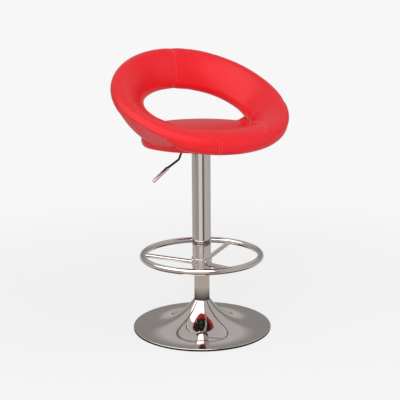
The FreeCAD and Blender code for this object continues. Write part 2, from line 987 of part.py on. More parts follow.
def cushion_body():
    """A round cushion: drawn-in foot, full waist, rounded shoulder, and a cap of a sphere as its crown."""

    def place(inset, rise):
        return V(roll_radius - inset, 0, board_top + rise)

    bottom = board_top + soft_gap
    shoulder = place(cushion_shoulder_inset, cushion_shoulder_rise)
    edge = place(cushion_edge_inset, cushion_edge_rise)
    foot = V(roll_radius - cushion_foot_inset, 0, padding_foot)
    crown = cushion_crown_rise - cushion_shoulder_rise
    crown_radius = (shoulder.x ** 2 + crown ** 2) / (2 * crown)
    half = math.asin(shoulder.x / crown_radius) / 2
    crown_top = V(0, 0, board_top + cushion_crown_rise)
    crown_middle = crown_top + V(crown_radius * math.sin(half), 0, crown_radius * (math.cos(half) - 1))
    return revolve(face_of([
        line(V(0, 0, bottom), V(board_radius, 0, bottom)),
        line(V(board_radius, 0, bottom), V(board_radius, 0, padding_foot)),
        line(V(board_radius, 0, padding_foot), foot),
        arc(foot, place(cushion_inset, cushion_waist_rise), edge),
        arc(edge, place(cushion_round_inset, cushion_round_rise), shoulder),
        arc(shoulder, crown_middle, crown_top),
        line(crown_top, V(0, 0, bottom)),
    ]))


def reach_to_circle(centre, outward, radius):
    """Distance from the ring's centre line, along outward, to a circle round the stool's axis."""
    along = centre.x * outward.x + centre.y * outward.y
    flat = centre.x ** 2 + centre.y ** 2
    return -along + math.sqrt(along ** 2 - flat + radius ** 2)


def wall_wire(angle, grow):
    """Section of the side wall: foot on the rolled edge, top in the ring, a rounded lip where it falls."""
    centre, outward, across, upward, wide, thick = ring_frame_at(angle)
    fall = smooth_share(wall_full_angle, wall_end_angle, abs(angle))
    widen = smooth_share(wall_join_first_angle, wall_join_last_angle, abs(angle))
    join_width = blend(wall_join_width_front, wall_join_width_side, widen)
    join_depth = blend(wall_join_depth_front, wall_join_depth_side, widen)
    floor = V(centre.x, centre.y, padding_foot)
    foot_radius = roll_radius - wall_foot_inset
    thickness = blend(wall_foot_thickness, wall_low_thickness, fall)
    outer_reach = reach_to_circle(centre, outward, foot_radius + grow)
    inner_reach = reach_to_circle(centre, outward, foot_radius - thickness - grow)
    low = V(centre.x, centre.y, board_top + wall_low_rise + grow)
    join = centre + across * (join_width * wide) - upward * (join_depth * thick)
    inner_high = centre - across * (wall_inner_reach * wide)
    foot = floor + outward * outer_reach
    inner_foot = floor + outward * inner_reach
    outer_top = join * (1 - fall) + (low + outward * outer_reach) * fall
    inner_top = inner_high * (1 - fall) + (low + outward * inner_reach) * fall
    lip = (outer_top + inner_top) * 0.5 + Z_AXIS * (wall_lip_rise + grow)
    rise = (outer_top - foot).normalize()
    square = V(outward.x * rise.z, outward.y * rise.z, -(outward.x * rise.x + outward.y * rise.y))
    side = (foot + outer_top) * 0.5 + square * (blend(wall_bulge, wall_low_bulge, fall) + grow)
    return Part.Wire([
        arc(foot, side, outer_top),
        arc(outer_top, lip, inner_top),
        line(inner_top, inner_foot),
        line(inner_foot, foot),
    ])


def wall_body(side, grow=0.0):
    first = wall_start_angle - grow
    last = wall_end_angle + grow
    step = (last - first) / (wall_sections - 1)
    wires = [wall_wire(side * (first + step * i), grow) for i in range(wall_sections)]
    return Part.makeLoft(wires, True, False, False)


def write(name, shape):
    shape.exportStep("parts/" + name + ".step")
    volumes = [round(s.Volume) for s in shape.Solids]
    print(name, "solids", len(volumes), "volume", sum(volumes), "valid", shape.isValid())


os.makedirs("parts", exist_ok=True)

write("base_dish", base_dish())
write("base_edge_ring", base_edge_ring())
write("base_plate", base_plate())
write("base_socket", base_socket())
write("base_bolts", base_bolts())
write("column_tube", column_tube())
write("column_end_plate", column_end_plate())
write("column_bush", column_bush())

write("bearing_lower_race", bearing_lower_race())
write("bearing_cage", bearing_cage())
write("bearing_balls", bearing_balls())
write("bearing_upper_race", bearing_upper_race())

write("piston_rod", piston_rod())
write("rod_clip", rod_clip())
write("rod_washer", rod_washer())
write("buffer_washer", buffer_washer())
write("piston", piston())
write("piston_ring", piston_ring())

write("gas_cylinder", gas_cylinder())
write("cylinder_end_plug", cylinder_end_plug())
write("rod_seal", rod_seal())
write("release_pin", release_pin())
write("shroud_tube", shroud_tube())
write("shroud_bush", shroud_bush())
write("shroud_cap", shroud_cap())

write("footrest_ring", footrest_ring())
write("footrest_hub", footrest_hub())
write("hub_grub_screws", hub_grub_screws())
for number in range(spoke_count):
    write("footrest_spoke_" + str(number + 1), footrest_spoke(number))

write("seat_plate", seat_plate())
write("plate_socket", plate_socket())
write("lever_bracket", lever_bracket())
write("lever_pivot_pin", lever_pivot_pin())
write("lever_hub", lever_hub())
write("lever_rod", lever_rod())
write("lever_grip", lever_grip())

write("dust_cover", dust_cover())
write("seat_board", seat_board())
write("plate_washers", plate_washers())
write("plate_bolts", plate_bolts())
write("tee_nuts", tee_nuts())

frame_room = frame_clearances()
ring_room = ring_body(soft_gap)
nut_top = board_top + tee_flange_thickness + soft_gap
nut_space = tee_flange_radius + soft_gap
nut_room = [cylinder(nut_space, board_top, nut_top, p.x, p.y) for p in plate_hole_places()]
write("seat_frame", seat_frame())
write("frame_screws", frame_screws())
write("ring_pad", less(ring_body(), [hoop_body(hoop_radius + soft_gap)] + frame_room))
write("edge_roll", less(edge_roll(), [ring_room] + frame_room))
wall_room = [wall_body(side, wall_gap) for side in (1, -1)]
write("seat_cushion", less(cushion_body(), [ring_room] + wall_room + nut_room + frame_room))
write("side_wall_left", less(wall_body(1), [ring_room] + frame_room))
write("side_wall_right", less(wall_body(-1), [ring_room] + frame_room))
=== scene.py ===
import json
import math

import bpy
import numpy as np
from mathutils import Matrix


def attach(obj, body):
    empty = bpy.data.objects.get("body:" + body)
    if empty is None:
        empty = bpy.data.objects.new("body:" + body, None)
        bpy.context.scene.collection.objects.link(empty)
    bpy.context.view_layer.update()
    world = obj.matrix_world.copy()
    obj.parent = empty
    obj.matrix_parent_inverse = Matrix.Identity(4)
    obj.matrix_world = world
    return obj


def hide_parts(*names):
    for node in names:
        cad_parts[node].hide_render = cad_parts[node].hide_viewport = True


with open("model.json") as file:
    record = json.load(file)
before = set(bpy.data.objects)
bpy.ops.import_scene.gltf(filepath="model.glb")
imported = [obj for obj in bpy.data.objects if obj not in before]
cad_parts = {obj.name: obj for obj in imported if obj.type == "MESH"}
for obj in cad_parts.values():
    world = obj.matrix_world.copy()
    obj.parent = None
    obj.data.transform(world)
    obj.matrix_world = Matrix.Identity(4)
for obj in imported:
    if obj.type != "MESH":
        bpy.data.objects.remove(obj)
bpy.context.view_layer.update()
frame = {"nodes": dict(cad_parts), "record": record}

# Shapes are in millimetres, and the studio and the patterns' scales in metres
MM = 0.001
UP = np.array([0.0, 0.0, 1.0])


# Meshes

def make_piece(name, points, quads, material):
    """Makes a piece of upholstery from points in millimetres and faces of four corners.

    A face with the same point at two corners in a row becomes a triangle. The volume that the faces
    enclose, a sixth of the sum of corner . (corner x corner), says which way they point, and they are
    turned round if it comes out below zero.
    """
    a, b, c, d = (points[quads[:, k]] for k in range(4))
    if np.einsum("ij,ij->", a, np.cross(b, c)) + np.einsum("ij,ij->", a, np.cross(c, d)) < 0:
        quads = np.roll(quads[:, ::-1], 2, axis=1)
    first = quads[:, 0] == quads[:, 1]
    last = (quads[:, 2] == quads[:, 3]) | (quads[:, 3] == quads[:, 0])
    side = quads[:, 1] == quads[:, 2]
    whole = ~(first | last | side)
    used, renumbered = np.unique(quads, return_inverse=True)
    quads = renumbered.reshape(quads.shape)
    faces = quads[whole].tolist() + quads[first][:, 1:].tolist() + quads[last][:, :3].tolist()
    faces += quads[side][:, [0, 2, 3]].tolist()
    mesh = bpy.data.meshes.new(name)
    mesh.from_pydata((points[used] * MM).tolist(), [], faces)
    mesh.polygons.foreach_set("use_smooth", np.ones(len(mesh.polygons), bool))
    mesh.validate()
    mesh.update()
    mesh.materials.append(material)
    piece = bpy.data.objects.new(name, mesh)
    bpy.context.scene.collection.objects.link(piece)
    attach(piece, "seat")
    return piece


def grid_faces(rows, columns, poles):
    """Faces of a grid of points whose rows run round a loop.

    The columns run round a loop too, or, with poles, each end column is a single point.
    """
    index = np.arange(rows * columns).reshape(rows, columns)
    if poles:
        index[:, 0] = index[0, 0]
        index[:, -1] = index[0, -1]
    else:
        index = np.concatenate([index, index[:, :1]], axis=1)
    index = np.concatenate([index, index[:1]])
    corners = [index[:-1, :-1], index[1:, :-1], index[1:, 1:], index[:-1, 1:]]
    return np.stack(corners, axis=-1).reshape(-1, 4)


def grid_piece(name, grid, material, poles=False):
    """One piece from a grid of points, an array of rows, columns and x, y, z."""
    rows, columns = grid.shape[:2]
    return make_piece(name, grid.reshape(-1, 3), grid_faces(rows, columns, poles), material)


def smooth_step(low, high, value):
    """0 below low, 1 above high, and 3 t^2 - 2 t^3 between them, with t the share of the way."""
    t = np.clip((value - low) / (high - low), 0.0, 1.0)
    return t * t * (3 - 2 * t)


def even_path(path, step):
    """Points a step apart along a path, the path's direction at each, and its share of the length."""
    lengths = np.concatenate([[0.0], np.cumsum(np.linalg.norm(np.diff(path, axis=0), axis=1))])
    count = max(2, int(lengths[-1] / step))
    places = (np.arange(count) + 0.5) * lengths[-1] / count

    def point_at(place):
        return np.stack([np.interp(place, lengths, path[:, k]) for k in range(3)], axis=1)

    probe = 0.3
    along = point_at(places + probe) - point_at(places - probe)
    return point_at(places), along / np.linalg.norm(along, axis=1)[:, None], places / lengths[-1]


# A stitch is a bar of thread: how many circles and corners it has, and its height and dip in radii
BAR_CIRCLES = 6
BAR_SIDES = 6
BAR_HEIGHT = 0.55
BAR_DIP = 1.9


def stitch_points(path, normals, spacing, length, radius):
    """Thread stitches along a path: each is a short bar with tapered ends, lying on the surface.

    With s the share of the way along a bar, its circle there has the radius radius * sin(pi s)^0.5
    and its middle lies radius * (BAR_HEIGHT - BAR_DIP * |2 s - 1|^3) above the surface, so that both
    ends dip to where the thread goes into the cloth.
    """
    centres, along, share = even_path(path, spacing)
    where = np.linspace(0, 1, len(normals))
    lift = np.stack([np.interp(share, where, normals[:, k]) for k in range(3)], axis=1)
    lift /= np.linalg.norm(lift, axis=1)[:, None]
    across = np.cross(along, lift)
    stations = np.linspace(0, 1, BAR_CIRCLES)
    reach = (stations - 0.5) * length
    girth = radius * np.sqrt(np.clip(np.sin(np.pi * stations), 0, 1))
    height = radius * (BAR_HEIGHT - BAR_DIP * np.abs(2 * stations - 1) ** 3)
    turn = np.linspace(0, 2 * np.pi, BAR_SIDES, endpoint=False)[:, None]
    sideways, rise = girth * np.cos(turn), height + girth * np.sin(turn)
    # Axes: bar, corner of its circle, circle, and x, y, z
    bars = (centres[:, None, None] + along[:, None, None] * reach[:, None]
            + across[:, None, None] * sideways[..., None] + lift[:, None, None] * rise[..., None])
    shifts = np.arange(len(centres)) * BAR_SIDES * BAR_CIRCLES
    faces = grid_faces(BAR_SIDES, BAR_CIRCLES, True) + shifts[:, None, None]
    return bars.reshape(-1, 3), faces.reshape(-1, 4)


def stitch_piece(name, rows, material):
    """One piece from several rows of stitches, each a pair of points and faces."""
    starts = np.cumsum([0] + [len(points) for points, _ in rows])
    points = np.concatenate([points for points, _ in rows])
    faces = np.concatenate([faces + start for (_, faces), start in zip(rows, starts)])
    return make_piece(name, points, faces, material)


# Materials

def linear(code):
    """An sRGB hex colour as linear light, with an alpha of 1."""
    values = [int(code[k:k + 2], 16) / 255 for k in (1, 3, 5)]
    return [v / 12.92 if v <= 0.04045 else ((v + 0.055) / 1.055) ** 2.4 for v in values] + [1.0]


def add(tree, kind, inputs=None, **settings):
    """Adds a node. An input is set to a value, or linked where the value is another node's output."""
    node = tree.nodes.new("ShaderNode" + kind)
    for key, value in settings.items():
        setattr(node, key, value)
    for key, value in (inputs or {}).items():
        if isinstance(value, bpy.types.NodeSocket):
            tree.links.new(value, node.inputs[key])
        else:
            node.inputs[key].default_value = value
    return node


def new_material(name):
    """A material with an empty node tree."""
    material = bpy.data.materials.new(name)
    material.use_nodes = True
    tree = material.node_tree
    tree.nodes.clear()
    return material, tree


def surface(tree, colour, roughness, height, strength, distance, **sockets):
    """Principled surface with a bump from a height, and any other socket by its name."""
    bump = add(tree, "Bump", {"Height": height, "Strength": strength, "Distance": distance})
    inputs = {"Base Color": colour, "Roughness": roughness, "Normal": bump.outputs["Normal"]}
    inputs.update({key.replace("_", " "): value for key, value in sockets.items()})
    shader = add(tree, "BsdfPrincipled", inputs)
    add(tree, "OutputMaterial", {"Surface": shader.outputs[0]})


def spread(tree, value, low, high):
    """A pattern's 0 to 1 as a range of plain numbers."""
    return add(tree, "MapRange", {"Value": value, "To Min": low, "To Max": high}).outputs[0]


def two_colours(tree, factor, first, second):
    """A mix of two hex colours."""
    mix = add(tree, "Mix", {"Factor": factor}, data_type="RGBA")
    mix.inputs[6].default_value = linear(first)
    mix.inputs[7].default_value = linear(second)
    return mix.outputs[2]


def mixed_colours(tree, factor, first, second):
    """A mix of the colours of two nodes."""
    mix = add(tree, "Mix", {"Factor": factor}, data_type="RGBA")
    tree.links.new(first, mix.inputs[6])
    tree.links.new(second, mix.inputs[7])
    return mix.outputs[2]


def coated_cloth():
    """PVC-coated knit, embossed: an even red with a fine pebble grain and a soft, slightly waxy gloss."""
    material, tree = new_material("pvc_coated_cloth_red")
    place = add(tree, "TexCoord").outputs["Object"]
    # Emboss cells of about 1.1 mm (real grain 0.5 mm, drawn coarser so that it shows)
    cells = add(tree, "TexVoronoi", {"Vector": place, "Scale": 900.0}, feature="SMOOTH_F1").outputs[0]
    fine = add(tree, "TexNoise", {"Vector": place, "Scale": 1600.0, "Detail": 2.0}).outputs[0]
    # Slow change of tone over about 120 mm, where the coating is stretched over the foam
    slow = add(tree, "TexNoise", {"Vector": place, "Scale": 8.0, "Detail": 1.0}).outputs[0]
    height = add(tree, "Math", {0: cells, 1: spread(tree, fine, 0.0, 0.35)}, operation="ADD").outputs[0]
    colour = two_colours(tree, slow, "#df1a23", "#e6232d")
    rough = spread(tree, slow, 0.3, 0.36)
    surface(tree, colour, rough, height, strength=0.12, distance=0.00025, Specular_IOR_Level=0.22)
    return material


def sewing_thread():
    """Bonded polyester thread, twisted: the cover's red, a shade lighter, with a silky sheen."""
    material, tree = new_material("polyester_thread_red")
    place = add(tree, "TexCoord").outputs["Object"]
    twist = add(tree, "TexNoise", {"Vector": place, "Scale": 2500.0, "Detail": 1.0}).outputs[0]
    colour = two_colours(tree, twist, "#e8575a", "#f28a88")
    surface(tree, colour, 0.5, twist, strength=0.4, distance=0.0001)
    return material


def chrome_plate():
    """Polished chrome plate: a near mirror with a faint haze and a cold, slightly warm-tinted grey."""
    material, tree = new_material("polished_chrome_plate")
    place = add(tree, "TexCoord").outputs["Object"]
    # Buffing leaves waves some 40 mm long that the eye sees only as a slight unevenness of gloss
    waves = add(tree, "TexNoise", {"Vector": place, "Scale": 25.0, "Detail": 2.0}).outputs[0]
    colour = two_colours(tree, waves, "#c9c3c1", "#d2cdcb")
    rough = spread(tree, waves, 0.045, 0.085)
    surface(tree, colour, rough, waves, strength=0.04, distance=0.0003, Metallic=1.0)
    return material


def black_enamel():
    """Stoving enamel, sprayed and baked: deep black, glossy, with a faint orange peel."""
    material, tree = new_material("stoving_enamel_black")
    place = add(tree, "TexCoord").outputs["Object"]
    # Orange peel of about 1.5 mm
    peel = add(tree, "TexNoise", {"Vector": place, "Scale": 650.0, "Detail": 1.0}).outputs[0]
    colour = two_colours(tree, peel, "#121213", "#1a1a1b")
    rough = spread(tree, peel, 0.18, 0.26)
    surface(tree, colour, rough, peel, strength=0.15, distance=0.0001)
    return material


def zinc_steel():
    """Mild steel, bright zinc plated: a soft bluish silver with cloudy patches."""
    material, tree = new_material("zinc_plated_steel")
    place = add(tree, "TexCoord").outputs["Object"]
    cloud = add(tree, "TexNoise", {"Vector": place, "Scale": 180.0, "Detail": 3.0}).outputs[0]
    colour = two_colours(tree, cloud, "#a9adb1", "#c6c8c6")
    rough = spread(tree, cloud, 0.26, 0.42)
    surface(tree, colour, rough, cloud, strength=0.1, distance=0.0001, Metallic=1.0)
    return material


def black_rubber():
    """Moulded rubber: a dull black with a fine, even tooth."""
    material, tree = new_material("moulded_rubber_black")
    place = add(tree, "TexCoord").outputs["Object"]
    tooth = add(tree, "TexNoise", {"Vector": place, "Scale": 1500.0, "Detail": 2.0}).outputs[0]
    colour = two_colours(tree, tooth, "#171717", "#222221")
    rough = spread(tree, tooth, 0.68, 0.82)
    surface(tree, colour, rough, tooth, strength=0.25, distance=0.0001)
    return material


def black_nylon():
    """Moulded nylon: black with the satin of a spark-eroded mould."""
    material, tree = new_material("moulded_nylon_black")
    place = add(tree, "TexCoord").outputs["Object"]
    spark = add(tree, "TexVoronoi", {"Vector": place, "Scale": 1400.0}).outputs[0]
    colour = two_colours(tree, spark, "#18181a", "#202022")
    rough = spread(tree, spark, 0.42, 0.55)
    surface(tree, colour, rough, spark, strength=0.15, distance=0.0001)
    return material


def turned_aluminium():
    """Aluminium bar, turned on a lathe: pale silver with rings 0.4 mm apart."""
    material, tree = new_material("turned_aluminium")
    place = add(tree, "TexCoord").outputs["Object"]
    # A wave's bands are scale * 10 / pi per metre
    rings = add(tree, "TexWave", {"Vector": place, "Scale": 780.0}, bands_direction="Z").outputs[1]
    colour = two_colours(tree, rings, "#c3c4c6", "#d0d1d2")
    rough = spread(tree, rings, 0.22, 0.34)
    surface(tree, colour, rough, rings, strength=0.2, distance=0.00005, Metallic=1.0)
    return material


def lining_cloth():
    """Spun-bonded polypropylene, not woven: matt black with fibres that catch a little light."""
    material, tree = new_material("spunbonded_lining_black")
    place = add(tree, "TexCoord").outputs["Object"]
    stretched = add(tree, "Mapping", {"Vector": place, "Scale": (1.0, 0.35, 1.0)}).outputs[0]
    fibres = add(tree, "TexNoise", {"Vector": stretched, "Scale": 1100.0, "Detail": 4.0}).outputs[0]
    colour = two_colours(tree, fibres, "#131314", "#2c2c2e")
    surface(tree, colour, 0.85, fibres, strength=0.5, distance=0.0003, Sheen_Weight=0.2)
    return material


def birch_plywood():
    """Birch plywood, sanded: a pale face with long grain, and layers 1.4 mm thick at its edge."""
    material, tree = new_material("birch_plywood")
    place = add(tree, "TexCoord").outputs["Object"]
    long_grain = add(tree, "Mapping", {"Vector": place, "Scale": (14.0, 120.0, 14.0)}).outputs[0]
    grain = add(tree, "TexNoise", {"Vector": long_grain, "Scale": 3.0, "Detail": 5.0}).outputs[0]
    layers = add(tree, "TexWave", {"Vector": place, "Scale": 224.0}, bands_direction="Z").outputs[1]
    both = add(tree, "Math", {0: grain, 1: layers}, operation="MULTIPLY").outputs[0]
    colour = two_colours(tree, both, "#b98f5f", "#dcc193")
    surface(tree, colour, 0.6, both, strength=0.15, distance=0.0002)
    return material


finishes = {
    "red_upholstery": coated_cloth(),
    "chrome_plate": chrome_plate(),
    "black_enamel": black_enamel(),
    "zinc_steel": zinc_steel(),
    "black_rubber": black_rubber(),
    "black_nylon": black_nylon(),
    "bare_aluminium": turned_aluminium(),
    "lining_cloth": lining_cloth(),
    "plywood": birch_plywood(),
}
thread = sewing_thread()

for part in frame["record"]["subparts"]:
    node = frame["nodes"][part["node"]]
    for material_slot in node.material_slots:
        material_slot.material = finishes[part["material_slot"]]

# The ring's form

# Its centre line: half its width, the middle of its depth, and how far it reaches to front and back
HALF_WIDTH = 226.6
CENTRE_Y = 13.9
FRONT_REACH = 211.3
BACK_REACH = 199.1
REACH_CHANGE = 0.25
FRONT_HEIGHT = 645.8
BACK_HEIGHT = 833.4
RISE_POWER = 1.2
# Its sections: half widths, half thicknesses, and tilts in degrees
FRONT_WIDE, SIDE_WIDE, BACK_WIDE = 53.2, 69.8, 65.7
FRONT_THICK, BACK_THICK = 34.7, 28.5
FRONT_TILT, BACK_TILT = -13.6, 83.8
TILT_POWER = 0.89
# Radius of a section's ends as a share of its half thickness
END_ROUNDNESS = 0.83
# Within this distance of the axis the sections' planes bend to pass through it
AXIS_REACH = 120.0


class Sections:
    """The ring's sections at some angles, 0 at the front and pi at the back.

    With s = (1 - cos angle) / 2, the centre rises as s^RISE_POWER and the section tilts as
    s^TILT_POWER, from the front's values to the back's. The half thickness changes evenly with s, and
    the half width too, with a swell of 4 s (1 - s) at the sides. Each section lies in an upright plane
    along `outward`; `across` runs along its long side and `upward` along its short one. `away` is how
    far the plane passes from the stool's axis, and `reach` the distance from there to the section's
    centre.
    """

    def __init__(self, angles):
        self.angles = angles
        share = (1 - np.cos(angles)) / 2
        side = 4 * share * (1 - share)
        self.wide = (FRONT_WIDE + (BACK_WIDE - FRONT_WIDE) * share
                     + side * (SIDE_WIDE - (FRONT_WIDE + BACK_WIDE) / 2))
        self.thick = FRONT_THICK + (BACK_THICK - FRONT_THICK) * share
        self.tilt = np.radians(FRONT_TILT + (BACK_TILT - FRONT_TILT) * share ** TILT_POWER)
        change = np.tanh(np.cos(angles) / REACH_CHANGE)
        depth = (FRONT_REACH + BACK_REACH) / 2 + (FRONT_REACH - BACK_REACH) / 2 * change
        flat = np.zeros_like(angles)
        across, ahead = HALF_WIDTH * np.sin(angles), CENTRE_Y - depth * np.cos(angles)
        rise = FRONT_HEIGHT + (BACK_HEIGHT - FRONT_HEIGHT) * share ** RISE_POWER
        self.centre = np.stack([across, ahead, rise], axis=-1)
        self.outward = np.stack([np.sin(angles), -np.cos(angles), flat], axis=-1)
        self.sideways = np.stack([np.cos(angles), np.sin(angles), flat], axis=-1)
        cosine, sine = np.cos(self.tilt)[..., None], np.sin(self.tilt)[..., None]
        self.across = self.outward * cosine + UP * sine
        self.upward = UP * cosine - self.outward * sine
        self.reach = np.sum(self.centre * self.outward, axis=-1)
        self.away = np.sum(self.centre * self.sideways, axis=-1)
        self.end_radius = END_ROUNDNESS * self.thick
        self.end_shift = self.wide - self.end_radius
        self.flat_radius = ((self.end_shift ** 2 + self.thick ** 2 - self.end_radius ** 2)
                            / (2 * (self.thick - self.end_radius)))
        self.switch = np.arctan2(self.flat_radius - self.thick, self.end_shift)

    def part(self, value, like):
        """One of the sections' values, shaped to go with an array that has more axes."""
        return value.reshape(value.shape + (1,) * (like.ndim - value.ndim))

    def oval(self, normal):
        """The point of each oval whose outward normal makes this angle with its long side.

        The oval has two end arcs and two flat arcs that meet smoothly, so its point is an arc's
        centre plus the arc's radius along the normal.
        """
        sine, cosine = np.sin(normal), np.cos(normal)
        flat = np.abs(sine) > np.sin(self.part(self.switch, normal))
        end_radius, end_shift = self.part(self.end_radius, normal), self.part(self.end_shift, normal)
        flat_radius = self.part(self.flat_radius, normal)
        drop = flat_radius - self.part(self.thick, normal)
        x = np.where(flat, flat_radius * cosine, np.sign(cosine) * end_shift + end_radius * cosine)
        y = np.where(flat, flat_radius * sine - np.sign(sine) * drop, end_radius * sine)
        return x, y

    def flat_place(self, x, y):
        """A place in each section's plane: distance outward from the axis, and height."""
        cosine, sine = np.cos(self.part(self.tilt, x)), np.sin(self.part(self.tilt, x))
        return (self.part(self.reach, x) + x * cosine - y * sine,
                self.part(self.centre[..., 2], x) + x * sine + y * cosine)

    def normal_at(self, share):
        """Angle of the oval's normal a share of the way round it, measured along its edge."""
        end_length = self.part(self.end_radius * self.switch, share)
        flat_length = self.part(self.flat_radius * (np.pi / 2 - self.switch), share)
        quarter = end_length + flat_length
        along = share * 4 * quarter
        number = np.floor(along / quarter)
        odd = number % 2 == 1
        rest = along - number * quarter
        rest = np.where(odd, quarter - rest, rest)
        switch, flat_radius = self.part(self.switch, share), self.part(self.flat_radius, share)
        angle = np.where(rest < end_length, rest / self.part(self.end_radius, share),
                         switch + (rest - end_length) / flat_radius)
        return np.where(odd, (number + 1) * np.pi / 2 - angle, number * np.pi / 2 + angle)

    def place(self, outward, height):
        """Points in space for places in the sections' planes.

        The planes pass up to 20 mm beside the stool's axis, and the offset fades out towards it, so
        that all of them meet there.
        """
        near = smooth_step(0.0, AXIS_REACH, outward)
        return (self.outward[:, None] * outward[..., None]
                + self.sideways[:, None] * (self.away[:, None] * near)[..., None]
                + UP * height[..., None])

    def clear(self, outward, height, gap):
        """Moves places that lie in the ring, or nearer than gap, straight out of its section."""
        cosine, sine = np.cos(self.tilt)[:, None], np.sin(self.tilt)[:, None]
        along, rise = outward - self.reach[:, None], height - self.centre[:, 2:]
        x, y = along * cosine + rise * sine, -along * sine + rise * cosine
        end_shift, flat_radius = self.end_shift[:, None], self.flat_radius[:, None]
        turn = np.arctan2(np.abs(y), np.abs(x) - end_shift)
        at_end = (np.abs(x) > end_shift) & (turn < self.switch[:, None])
        dx = np.where(at_end, x - np.sign(x) * end_shift, x)
        dy = np.where(at_end, y, y + np.sign(y) * (flat_radius - self.thick[:, None]))
        distance = np.hypot(dx, dy)
        radius = np.where(at_end, self.end_radius[:, None], flat_radius)
        push = np.clip(gap - (distance - radius), 0, None) / distance
        return self.flat_place(x + dx * push, y + dy * push)


def ring_point(angles, normal):
    """Points and outward normals of the ring, for an angle round the seat and one round the oval."""
    sections = Sections(angles)
    x, y = sections.oval(normal)
    points = sections.centre + sections.across * x[..., None] + sections.upward * y[..., None]
    return points, (sections.across * np.cos(normal)[..., None]
                    + sections.upward * np.sin(normal)[..., None])


# Where the side wall meets the ring above and the rolled edge below

ROLL_TOP = 634.5
FLUSH_TOP = 627.0
NOTCH_RADIUS = 185.6
FLUSH_RADIUS = 188.5
SOFT_GAP = 0.4
PANEL_THICKNESS = 2.6
NOTCH_ROOM = 0.6
# Degrees round the seat between which the notch forms, the wall begins, and it lets go of the ring
NOTCH_FORMS = (70.0, 94.0)
WALL_BEGINS = (24.0, 50.0)
WALL_LETS_GO = (79.0, 88.0)
# The ring's normal where the wall leaves it: at the front, beside the seat, and where the wall ends
JOIN_FRONT, JOIN_SIDE, JOIN_BACK = -80.0, -2.0, -52.0
JOIN_CLIMBS = (25.0, 52.0)
JOIN_FALLS = (64.0, 92.0)


def level_on_circle(sections, radius):
    """Where each section's plane crosses a circle round the stool's axis."""
    return np.sqrt(radius ** 2 - sections.away[:, None] ** 2)


def join_angle(turn):
    """The ring's normal where the side wall leaves it, in degrees, for degrees round the seat.

    It climbs from underneath at the front to the ring's outermost line beside the seat, and goes
    back under where the wall ends.
    """
    return (JOIN_FRONT + (JOIN_SIDE - JOIN_FRONT) * smooth_step(*JOIN_CLIMBS, turn)
            + (JOIN_BACK - JOIN_SIDE) * smooth_step(*JOIN_FALLS, turn))


class WallEnds:
    """The side wall's ends in each section's plane: `top` on the ring's oval, `notch` on the roll.

    At the front, where there is no wall, the top slides under the ring to where it passes the roll.
    `run` and `drop` are the direction from the notch to the top, and `hold` says how firmly the wall
    is tied to the ring.
    """

    def __init__(self, sections, turn):
        formed = smooth_step(*NOTCH_FORMS, turn)
        level = FLUSH_TOP + (ROLL_TOP - FLUSH_TOP) * formed
        circle = level_on_circle(sections, FLUSH_RADIUS + (NOTCH_RADIUS - FLUSH_RADIUS) * formed)
        # From the inner end round the underside: the first place that lies outside the circle
        trial = np.radians(np.linspace(150.0, 350.0, 400)) + 0 * circle
        trial_out, trial_up = sections.flat_place(*sections.oval(trial))
        rows = np.arange(len(trial))
        over = np.argmax(trial_out > circle, axis=1)
        over_angle, over_height = trial[rows, over][:, None], trial_up[rows, over][:, None]
        begun = smooth_step(*WALL_BEGINS, turn)
        self.angle = over_angle + (np.radians(360.0 + join_angle(turn)) - over_angle) * begun
        self.top_out, self.top_up = sections.flat_place(*sections.oval(self.angle))
        room = SOFT_GAP + PANEL_THICKNESS * begun + NOTCH_ROOM
        self.notch_out, self.notch_up = circle, np.minimum(level, over_height - room)
        run, drop = self.top_out - self.notch_out, self.top_up - self.notch_up
        self.length = np.hypot(run, drop) + 0.01
        self.run, self.drop = run / self.length, drop / self.length
        self.hold = begun * (1 - smooth_step(*WALL_LETS_GO, turn))

    def press(self, outward, height, gap):
        """Presses places that stand out past the wall's straight line back to a gap inside it.

        The push sets in over the first 6% of the line below its top, and fades out between 10% and
        30% past its foot.
        """
        along = ((self.top_out - outward) * self.run + (self.top_up - height) * self.drop) / self.length
        beyond = (outward - self.top_out) * self.drop - (height - self.top_up) * self.run
        push = np.clip(beyond + gap, 0, None) * smooth_step(-0.01, 0.06, along) * self.hold
        push = push * smooth_step(1.3, 1.1, along)
        return outward - self.drop * push, height + self.run * push


# The ring's cover

# Seams across the ring: place in degrees, depth of the groove, whether it is top-stitched
RIGHT_SEAM = 25.5
LEFT_SEAM = -25.5
SIDE_SEAM = 70.0
CROSS_SEAMS = [
    (178.0, 1.3, True),
    (RIGHT_SEAM, 0.9, True),
    (LEFT_SEAM, 0.9, True),
    (SIDE_SEAM, 1.3, False),
    (-SIDE_SEAM, 0.8, False),
    (163.5, 0.5, False),
]
# Degrees by which the seams lean, and how far round the seat the side seams' lean reaches
FRONT_LEAN = 11.5
SIDE_LEAN_OUTSIDE, SIDE_LEAN_INSIDE = 6.5, -6.0
SIDE_LEAN_REACH = 18.0
UNDERSIDE = -70.0
# Degrees round the oval where a seam's line is wholly outside and inside, for front and side seams
FRONT_TURNS = [UNDERSIDE, 30.0, 115.0, 180.0, UNDERSIDE + 360.0]
SIDE_TURNS = [UNDERSIDE, 50.0, 112.0, 190.0, UNDERSIDE + 360.0]
INSIDE = [0, 0, 1, 1, 0]
# Degrees round the oval between which the front pair's seams fade out and in
LEFT_SEAM_ENDS = (50.0, 36.0)
RIGHT_SEAM_BEGINS = (48.0, 62.0)
STITCH_OFFSET = 3.8
STITCH_SPACING = 4.2
STITCH_LENGTH = 3.2
# Forms of the cover: its swell, the dip at a seam of this depth, the groove, and the puckers
SWELL = 1.0
SEAM_DEPTH = 0.9
DIP, DIP_WIDTH = 1.1, 11.0
GROOVE_WIDTH = 0.9
ROW_SHARE = 0.35
PUCKER, PUCKER_PLACE, PUCKER_WIDTH = 0.22, 6.0, 4.0
PUCKERS_ROUND = 34
